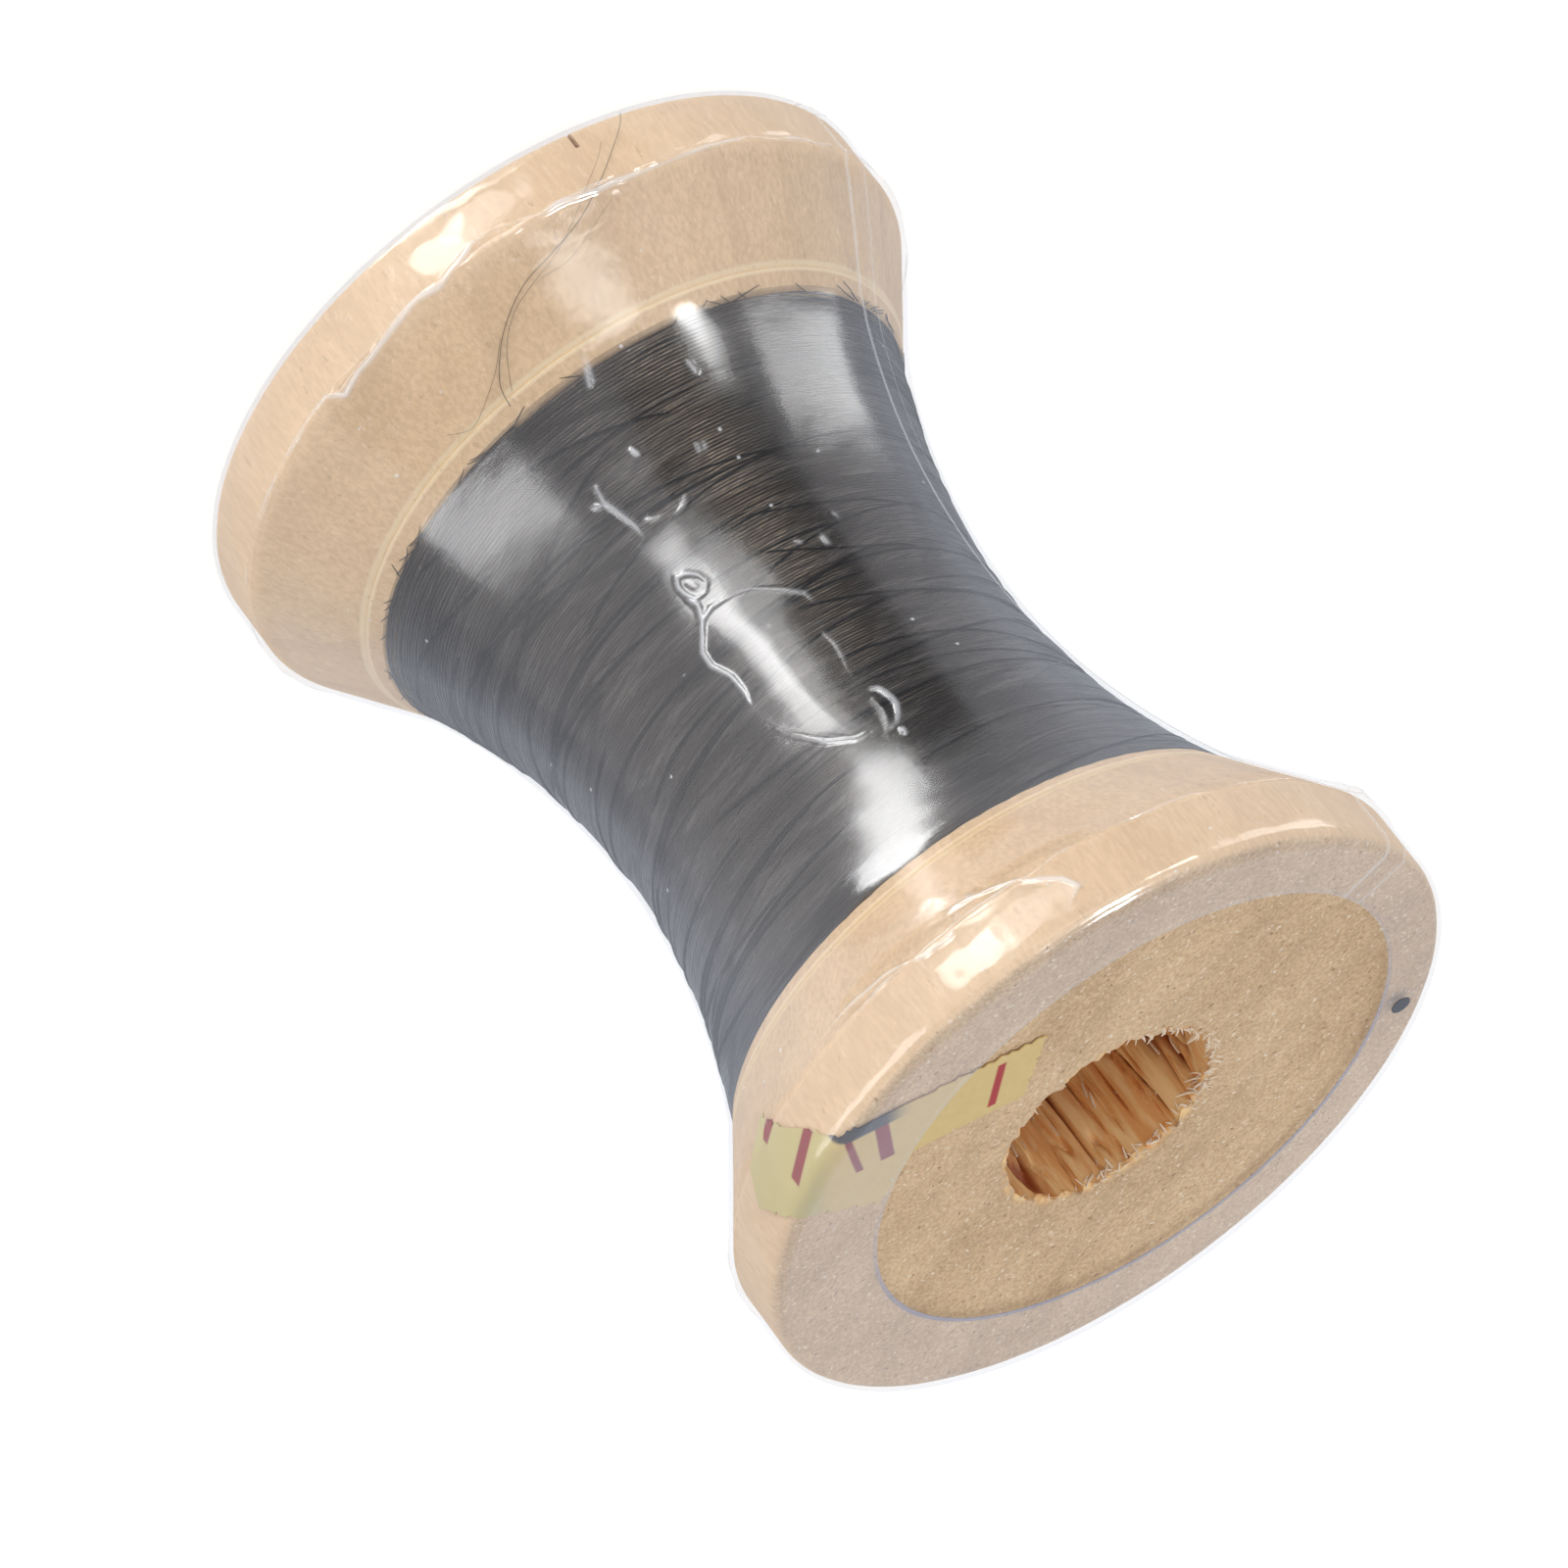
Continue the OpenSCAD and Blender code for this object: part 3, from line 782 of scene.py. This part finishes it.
def thread_bulk():
    heights = [LOW + 0.3 + (HIGH - LOW - 0.6) * k / 60 for k in range(61)]
    face = [(face_at(z, -0.14), z) for z in heights]
    barrel = BARREL_R + 0.1
    outline = ([(barrel, BASE + BARREL_Z + 0.1), (face[0][0] - 0.3, heights[0])] + face
               + [(face[-1][0] - 0.3, heights[-1]), (barrel, FULL - BASE - BARREL_Z - 0.1)])
    bulk = turned("thread_bulk", outline + [outline[0]], 128)
    roughen(bulk, 0.9, 0.04, 2, high=0.15)
    settle(bulk, silk("silk_under", 0.2), "thread_core", smooth=60)


def thread_turns():
    """The outer layer as one fine flattened thread, laid turn beside turn on the face."""
    turns, steps = 192, 60
    count = turns * steps
    path = []
    for i in range(count + 1):
        t, row = i / count, i / steps
        a = math.radians(-80) + 2 * math.pi * i / steps
        z = LOW + (HIGH - LOW) * t
        z += 0.05 * lumps(a, 1.5, z * 0.7)
        z += 0.032 * lumps(a, 1.2, row * 1.7)
        if t < 0.025:
            z += 0.09 * lumps(a, 4, row * 1.1)
        r = face_at(min(max(z, LOW_FOOT), HIGH_FOOT), -0.02)
        r += ledge(a, z) + 0.010 * lumps(a, 2, row * 2.9)
        path.append((*around(r, a, z), 1.0))

    # Both ends dip into the layer below.
    (x, y, z, _), (x2, y2, z2, _) = path[0], path[-1]
    path.insert(0, (x * 0.93, y * 0.93, z + 0.05, 1.0))
    path.append((x2 * 0.93, y2 * 0.93, z2 - 0.05, 1.0))
    settle(strands("thread_turns", [path], 0.15, flat=0.05), silk("silk_turns"),
           "thread_outer_layer")


def crossing_strands():
    """Lengths of thread that slipped over the turns at a slant."""
    dice = random.Random(21)
    runs, shadow_runs = [], []
    for k in range(110):
        a0, sweep = dice.uniform(-180, 180), dice.uniform(40, 150)
        z0, slope = dice.uniform(8.5, 27), dice.uniform(-2.6, 2.6)
        wave = dice.uniform(0, 6)
        n = int(sweep / 4)
        run = []
        for j in range(n + 1):
            t = j / n
            a = math.radians(a0 + sweep * t)
            z = min(max(z0 + slope * t + 0.2 * math.sin(wave + 5 * t), LOW + 0.2), HIGH - 0.2)
            r = face_at(z, 0.015) + ledge(a, z) - 0.1 * max(0, 1 - 9 * min(t, 1 - t))
            run.append((*around(r, a, z), 0.85 + 0.9 * max(0.0, math.cos(a + 0.35))))
        (runs if k % 4 == 0 else shadow_runs).append(run)
    # Three in four strands are painted nearly black, dark strands put in as painted shade for the
    # shadow lines between groups of threads. The rest carry stronger painted glints.
    for name, laid, wide, painted_sheen, depth in (("crossing_strands", runs, 0.08, 1.6, 1.0),
                                           ("shaded_strands", shadow_runs, 0.10, 0.0, 0.12)):
        settle(strands(name, laid, wide, flat=0.04), silk("silk_" + name, painted_sheen, depth))


def frayed_silk():
    """Fine hairs that stick out over the cones from the first and last turns."""
    dice = random.Random(5)
    runs = []
    for k in range(90):
        a0 = math.radians(dice.uniform(-180, 180))
        sweep = math.radians(dice.uniform(1.5, 7)) * dice.choice((-1, 1, 1))
        down = dice.uniform(0.0, 0.1) + (0.16 if dice.random() < 0.1 else 0)
        bend = dice.uniform(-0.08, 0.08)
        run = []
        for j in range(5):
            t = j / 4
            z = LOW_FOOT + 0.2 - (down + 0.2) * t + bend * t * (1 - t)
            r = face_at(z, 0.0) if z > LOW_FOOT else FOOT_R + (LOW_FOOT - z) * SLOPE + 0.035
            if k % 9 == 0:
                z = FULL - z
            run.append((*around(r, a0 + sweep * t, z), 1.0 - 0.5 * t))
        runs.append(run)
    settle(strands("frayed_silk", runs, 0.045), silk("silk_fringe", 0.4))


def flange_spot(height, out):
    """Radius and height on the lower flange, height up its side or in along its end face."""
    if height >= EDGE_R:
        if height <= RIM_W:
            return RIM_R + out, height + BASE
        return RIM_R - (height - RIM_W) * SLOPE + out / math.cos(CONE), height + BASE
    if height <= -EDGE_R:
        return RIM_R + height, BASE - out
    t = math.radians(45 + 45 * height / EDGE_R)
    return (RIM_R - EDGE_R + (EDGE_R + out) * math.sin(t),
            BASE + EDGE_R - (EDGE_R + out) * math.cos(t))


# The thread's end and the three hairs split from it: how far each stands off the wood, its
# width share at both ends, and its route in (angle, height).
TAIL = (
    (0.06, 1.0, 0.7, ((-82, 6.2), (-83, 5.6), (-86, 5), (-90, 4.4), (-96, 3.8), (-102, 3.5),
                      (-107, 3.2), (-111, 2.8), (-115, 2.2), (-119, 1.4), (-123, 0.5),
                      (-126, -0.6), (-130, -1.4))),
    (0.065, 0.7, 0.4, ((-84, 5.9), (-88, 4.9), (-92.5, 4.25), (-97.5, 3.9), (-103, 3.55),
                       (-108.5, 2.9), (-112.6, 2.2), (-116.2, 1.5), (-118.6, 0.9))),
    (0.06, 0.5, 0.3, ((-99, 3.9), (-103.5, 3.9), (-108, 3.6), (-112, 3.2), (-115, 2.9))),
    (0.05, 0.6, 0.4, ((-88, 4.6), (-84, 5.2), (-78.5, 5.7), (-74, 5.9), (-70, 5.5))),
)


def loose_end():
    """The end of the thread, with the hairs that have split from it."""
    runs = []
    for out, wide, thin, route in TAIL:
        run, last = [], len(route) - 1
        for i in range(last):
            for k in range(6):
                t = k / 6
                near = route[max(i - 1, 0)], route[i], route[i + 1], route[min(i + 2, last)]
                turn, height = [
                    b + t / 2 * (c - p + t * (2 * p - 5 * b + 4 * c - d
                                              + t * (3 * (b - c) + d - p)))
                    for p, b, c, d in zip(*near)]
                r, z = flange_spot(height, out)
                run.append((*around(r, math.radians(turn), z),
                            wide + (thin - wide) * (i + t) / last))
        runs.append(run)
    settle(strands("loose_end", runs, 0.023), silk("silk_end", 1.4), "thread_tail")


# ---------------------------------------------------------------- the paper strip

def paper_strip():
    """A skin over the upper flange, cut down to one strip that folds over the edge."""
    top, up = FULL - BASE, Vector((0, 0, 1))
    over, side = top + 0.07, RIM_R + 0.07
    skin = rounded([(BORE_R + 0.2, over, 0), (side, over, EDGE_R + 0.07),
                    (side, top - RIM_W - 0.03, 0.15), (11.7, top - 4.0, 0)], 5)
    a = math.radians(LABEL_RUN)
    ahead, left = Vector(around(1, a, 0)), Vector((-math.sin(a), math.cos(a), 0))
    lean = math.asin(LABEL_OFF / RIM_R)
    b = a - lean + math.radians(2)
    lean += math.radians(12)
    out, aside = Vector(around(1, b, 0)), Vector((-math.sin(b), math.cos(b), 0))
    down = aside * math.sin(lean) - up * math.cos(lean)
    across = aside * math.cos(lean) + up * math.sin(lean)
    fold, middle, edge = out * RIM_R + up * top, left * -LABEL_OFF, up * top

    def cut_strip(name, cuts):
        part = turned("strip_" + name, closer(skin, 0.25), 360)
        bpy.ops.object.mode_set(mode="EDIT")
        for place, way in cuts:
            bpy.ops.mesh.select_all(action="SELECT")
            bpy.ops.mesh.bisect(plane_co=place * MM, plane_no=way, clear_outer=True)
        bpy.ops.object.mode_set(mode="OBJECT")
        return part
    strip = cut_strip("flat", ((middle + left * LABEL_W / 2, left),
                               (middle - left * LABEL_W / 2, -left),
                               (middle + ahead * (LABEL_FROM + 0.1), -ahead + left * 0.2),
                               (edge, -up)))
    pick(strip, cut_strip("rim", ((fold + across * LABEL_W / 2, across),
                                  (fold - across * LABEL_W / 2, -across),
                                  (fold + down * LABEL_DROP, down + across * 0.12),
                                  (edge, up), (out * 9, -out))))
    bpy.ops.object.join()
    strip.name = strip.data.name = "paper_strip"
    bpy.ops.object.mode_set(mode="EDIT")
    bpy.ops.mesh.select_all(action="SELECT")
    bpy.ops.mesh.remove_doubles(threshold=0.00003)
    bpy.ops.object.mode_set(mode="OBJECT")
    roughen(strip, 1.3, 0.04, 1)
    reshape(strip, "SOLIDIFY", thickness=0.05 * MM, offset=0)
    settle(strip, printed_paper(), "paper_label", smooth=40)


# ---------------------------------------------------------------- the shrink sleeve

# How far the film stands off what it is shrunk over, and off both ends.
CLOSE, ON_END = 0.17, 0.24

# The air pockets under the film: how far each lifts it, over how wide an edge, and its outline
# as (angle, height).
POCKETS = (
    (0.07, 1.5, ((-88.2, 15.55), (-97.7, 15.78), (-103.9, 16.41), (-107.9, 16.92),
                 (-108.5, 17.37), (-106.4, 18.13), (-106.1, 19.25), (-104.0, 20.77),
                 (-100.8, 22.17), (-96.2, 22.76), (-90.1, 22.11), (-86.6, 21.35),
                 (-83.4, 20.45), (-81.7, 19.12), (-82.2, 17.88), (-80.0, 17.14),
                 (-80.3, 16.57), (-84.7, 15.73))),
    (0.03, 0.4, ((-86.2, 14.0), (-88.5, 14.1), (-90.4, 14.38), (-91.2, 14.72), (-89.3, 15.0),
                 (-86.8, 15.0), (-85.4, 14.66), (-85.1, 14.33))),
    (0.06, 0.5, ((-103.2, 21.6), (-105.7, 21.45), (-107.4, 22.1), (-107.2, 22.71), (-104.6, 23.2),
                 (-101.4, 23.2), (-102.6, 22.4))),
    (0.05, 1.2, ((-83.4, 10.0), (-84.2, 10.9), (-86.1, 11.8), (-86.5, 12.5), (-91.5, 12.25),
                 (-95.7, 12.35), (-99.4, 12.1), (-102.4, 11.2), (-103.5, 10.4), (-99.0, 9.75),
                 (-94.1, 9.7), (-88.5, 9.6))),
)
# The creases in the film as lines of (angle, height, strength).
CREASES = (
    ((-86.2, 14.0, 1), (-88.5, 14.1, 1), (-90.4, 14.38, .8), (-91.2, 14.72, .5), (-89.3, 15.0, .6),
     (-86.8, 15.0, .8), (-85.4, 14.66, .9), (-85.1, 14.33, 1), (-86.2, 14.0, 1)),
    ((-85.2, 14.85, .8), (-86.3, 15.2, 1), (-84.7, 15.73, 1), (-80.3, 16.57, 1), (-80.0, 17.14, 1),
     (-82.2, 17.88, .9), (-82.5, 18.55, .8), (-81.7, 19.12, .2)),
    ((-84.7, 15.73, 1), (-88.2, 15.55, .9), (-93.4, 15.61, .5), (-97.7, 15.78, .5),
     (-103.9, 16.41, .6), (-107.9, 16.92, .5), (-108.5, 17.37, .1)),
    ((-105.7, 18.56, .2), (-106.2, 19.15, .35), (-105.7, 19.67, .3), (-104.6, 20.32, .05)),
    ((-83.4, 20.45, .4), (-84.6, 20.93, .4), (-86.6, 21.35, .6), (-90.1, 22.11, .8),
     (-96.2, 22.76, .6), (-98.7, 22.76, .2)),
    ((-106.0, 21.34, .6), (-107.2, 21.47, .9), (-107.7, 21.76, 1), (-108.0, 22.1, 1),
     (-107.8, 22.39, 1), (-106.7, 22.74, 1), (-105.4, 23.0, .7), (-102.1, 23.2, .2)),
    ((-84.6, 10.09, .7), (-84.0, 10.59, 1), (-85.1, 11.21, 1), (-86.0, 11.81, 1),
     (-86.1, 12.31, .4)),
    ((-81.5, 10.47, .5), (-82.8, 10.61, .9), (-84.1, 10.65, .7)),
    ((-88.6, 11.93, .5), (-90.1, 12.06, .6), (-92.1, 12.13, .2)),
    ((-95.3, 12.32, .3), (-97.2, 12.2, .7), (-98.8, 12.01, .3)),
    ((-95.1, 9.84, 1.3), (-95.4, 10.02, 1.3)), ((-107.0, 10.75, .7), (-106.6, 10.97, .7)),
    ((-108.4, 10.8, .6), (-107.9, 11.0, .6)), ((-119.7, 15.42, 1), (-119.8, 15.64, 1)),
    ((-113.7, 15.17, .7), (-114.3, 15.26, .7)), ((-125.7, 14.74, .6), (-126.1, 14.84, .6)),
    ((-105.1, 23.37, .9), (-105.0, 23.57, .9)), ((-114.2, 8.3, .9), (-114.6, 8.7, .9)),
    ((-96.9, 7.0, 1), (-95.6, 7.5, 1)), ((-97.6, 6.9, .8), (-96.6, 7.4, .8)),
    ((-90.2, 31.5, .9), (-93.0, 31.62, 1), (-96.2, 31.9, 1), (-99.3, 32.2, 1), (-102.3, 32.6, 1.1),
     (-105.0, 33.05, 1.3), (-106.2, 33.5, 1.2), (-104.4, 33.8, .5)),
    ((-58.0, 31.85, .4), (-70.5, 31.8, .9), (-77.5, 32.0, 1), (-82.9, 32.4, 1), (-87.7, 32.5, .9),
     (-90.3, 31.9, .7)),
    ((-22.0, 2.72, .4), (-40.0, 2.8, .6), (-52.0, 2.66, .8), (-62.2, 2.67, 1.2), (-64.5, 3.1, 1.4),
     (-68.4, 2.95, 1.2), (-76.0, 2.85, 1.5), (-82.0, 2.7, 1.9), (-85.8, 2.8, 2.2),
     (-91.0, 2.5, 1.9), (-93.5, 2.3, .8), (-96.9, 2.35, .2), (-104.0, 2.75, .5),
     (-107, 2.75, 1.6), (-114.0, 2.9, 1.7), (-119.0, 2.9, 1.1), (-130.0, 2.8, 1.1),
     (-137.0, 2.7, .9), (-150.0, 2.74, .7), (-166.0, 2.7, .4)),
)


def film_radius(z):
    """Radius of the close-lying film at that height."""
    z = min(z, FULL - z)
    if z <= RIM_TOP:
        return RIM_R + CLOSE
    if z >= LOW_FOOT:
        return face_at(z, CLOSE)
    return RIM_R + (RIM_TOP - z) * SLOPE + CLOSE / math.cos(CONE)


def on_film(angle, z):
    return Vector(around(film_radius(z), math.radians(angle), z))


def nearest(p, line):
    """Distance to the nearest point of a line of (place, strength), and its strength there."""
    best = (99.0, 0.0)
    for (a, u), (b, v) in zip(line, line[1:]):
        way = b - a
        t = min(max((p - a).dot(way) / way.length_squared, 0), 1)
        best = min(best, ((p - a - way * t).length, u + (v - u) * t))
    return best


def inside(p, outline):
    """Whether p lies within an outline of (angle, height)."""
    x, y = math.degrees(angle_of(p)), p.z
    odd = False
    for (x1, y1), (x2, y2) in zip(outline, outline[1:] + outline[:1]):
        if (y1 > y) != (y2 > y) and x < x1 + (x2 - x1) * (y - y1) / (y2 - y1):
            odd = not odd
    return odd


def turned_sleeve():
    """The film as it was shrunk on, before its pockets, creases and seam."""
    side, cone = RIM_R + CLOSE, CLOSE / math.cos(CONE)
    low = [(r, BASE - ON_END, 0) for r in (HOLE_R, 10.0, 10.4, 10.9, 11.4, 11.9)]
    low += [(side, BASE - ON_END, EDGE_R + CLOSE + 0.1)]
    low += [(side, z, 0) for z in (0.95, 1.35, 1.75, 2.1, 2.35, 2.5, 2.6)]
    low += [(side + w + min(0, RIM_TOP - z) * SLOPE * 0.6, z, 0)
            for z, w in ((2.68, 0.03), (2.74, 0.045), (2.80, 0.035), (2.87, 0.0))]
    low += [(RIM_R - (z - RIM_TOP) * SLOPE + cone + 0.025 * math.sin(math.pi * (z - 2.9) / 3.6),
             z, 0) for z in (3.0, 3.15, 3.4, 3.75, 4.15, 4.55, 4.95, 5.35, 5.75, 6.1, 6.4)]
    start, rows = LOW_FOOT + 0.05, 68
    heights = [start + (FULL - 2 * start) * k / rows for k in range(rows + 1)]
    face = [(face_at(z, CLOSE), z) for z in heights]
    half = rounded(low + [(*face[0], 0)], 7)[:-1]
    return turned("shrink_sleeve", half + face + flipped(half), 216)


def shrink_sleeve():
    film = turned_sleeve()

    def spanned(line):
        return line, min(p.z for p, _ in line) - 0.6, max(p.z for p, _ in line) + 0.6
    edges = [spanned([(on_film(*spot), 1.0) for spot in line + line[:1]])
             for _, _, line in POCKETS]
    creases = [spanned([(on_film(a, z), w) for a, z, w in line]) for line in CREASES]

    def reach(p, among):
        if p.y > 0.5:
            return 99.0, 0.0
        return min([nearest(p, line) for line, low, high in among if low < p.z < high],
                   default=(99.0, 0.0))

    bpy.ops.object.mode_set(mode="EDIT")
    choose(film, lambda p: reach(p, edges + creases)[0] < 0.42)
    bpy.ops.mesh.subdivide(number_cuts=3, ngon=False)
    bpy.ops.object.mode_set(mode="OBJECT")

    def lifted(p):
        if p.y > 0:
            return 0
        for (edge, *_), (rise, wide, outline) in zip(edges, POCKETS):
            if abs(p.z - outline[0][1]) < 8 and inside(p, outline):
                d = min(nearest(p, edge)[0] / wide, 1)
                return rise / 0.1 * d * d * (3 - 2 * d)
        return 0

    def bend(p, wide):
        """1 where the film bends from rim to cone, fading to 0 at that distance."""
        if p.xy.length <= 12:
            return 0
        return max(0, 1 - abs(min(p.z, FULL - p.z) - 2.74) / wide)

    def creased(p):
        d, w = reach(p, creases)
        mark = min(w, 1.3) * math.exp(-(d / (0.05 + 0.035 * w)) ** 2) if d < 0.4 else 0
        fold = bend(p, 0.09)
        if fold > 0:
            mark = max(mark, fold * max(0, 0.25 + 1.6 * lumps(angle_of(p), 7, p.z)))
        return mark

    def seam(p):
        return float(-169.2 < math.degrees(angle_of(p)) < -163.4 and 0.5 < p.z < 34.5)

    def over_strip(p):
        if p.z <= 31 or p.xy.length <= 11:
            return 0
        return max(0, 1 - abs(math.degrees(angle_of(p)) + 46) / 16)

    def crept(p):
        return max(0, min(1, (12.3 - p.xy.length) / 2.5)) if p.z > 34.8 else 0

    def walls(p):
        if not 0.7 < p.z < 34.3:
            return 0
        return 0.35 if 7.5 < p.z < 27.5 or p.xy.length > 12.6 else 1.0
    welts = [creased(v.co / MM) for v in film.data.vertices]
    push_out(film, "pockets", lifted, 0.1)
    push_out(film, "creased", welts, 0.05)
    push_out(film, "seam", seam, 0.04)
    push_out(film, "over_strip", over_strip, 0.05)
    push_out(film, "crept", crept, -HOLE_SHIFT, "X")
    named_part(film, "walls", walls)
    named_part(film, "folds", lambda p: bend(p, 0.7))
    roughen(film, 6.0, 0.12, 0, "walls", middle=0.55)
    roughen(film, 1.5, 0.3, 1, "folds", way="Z")
    for v in film.data.vertices:
        v.co.z = min(max(v.co.z, 0.01 * MM), 34.99 * MM)
    film.data.attributes.new("welt", "FLOAT", "POINT").data.foreach_set("value", welts)
    reshape(film, "SOLIDIFY", thickness=0.03 * MM, offset=-1)
    settle(film, clear_film(), "film_sleeve", smooth=60)


def ink_dot():
    bpy.ops.mesh.primitive_cylinder_add(vertices=40, radius=0.36 * MM, depth=0.02 * MM,
                                        location=(-9.67 * MM, 6.05 * MM, 34.953 * MM))
    dot = bpy.context.object
    dot.name = dot.data.name = "ink_dot"
    bpy.ops.object.mode_set(mode="EDIT")
    choose(dot, lambda p: p.z > 0)
    bpy.ops.mesh.inset(thickness=0.05 * MM)
    bpy.ops.transform.resize(value=(1.0, 0.86, 1.0))
    bpy.ops.object.mode_set(mode="OBJECT")
    bpy.ops.object.transform_apply(location=True, rotation=True, scale=True)
    settle(dot, ink(), smooth=40)


camera()
room()
build_groups()
wooden_spool()
frayed_fibres()
thread_bulk()
thread_turns()
crossing_strands()
frayed_silk()
loose_end()
paper_strip()
shrink_sleeve()
ink_dot()

scene = bpy.context.scene
scene.view_settings.view_transform = "Standard"
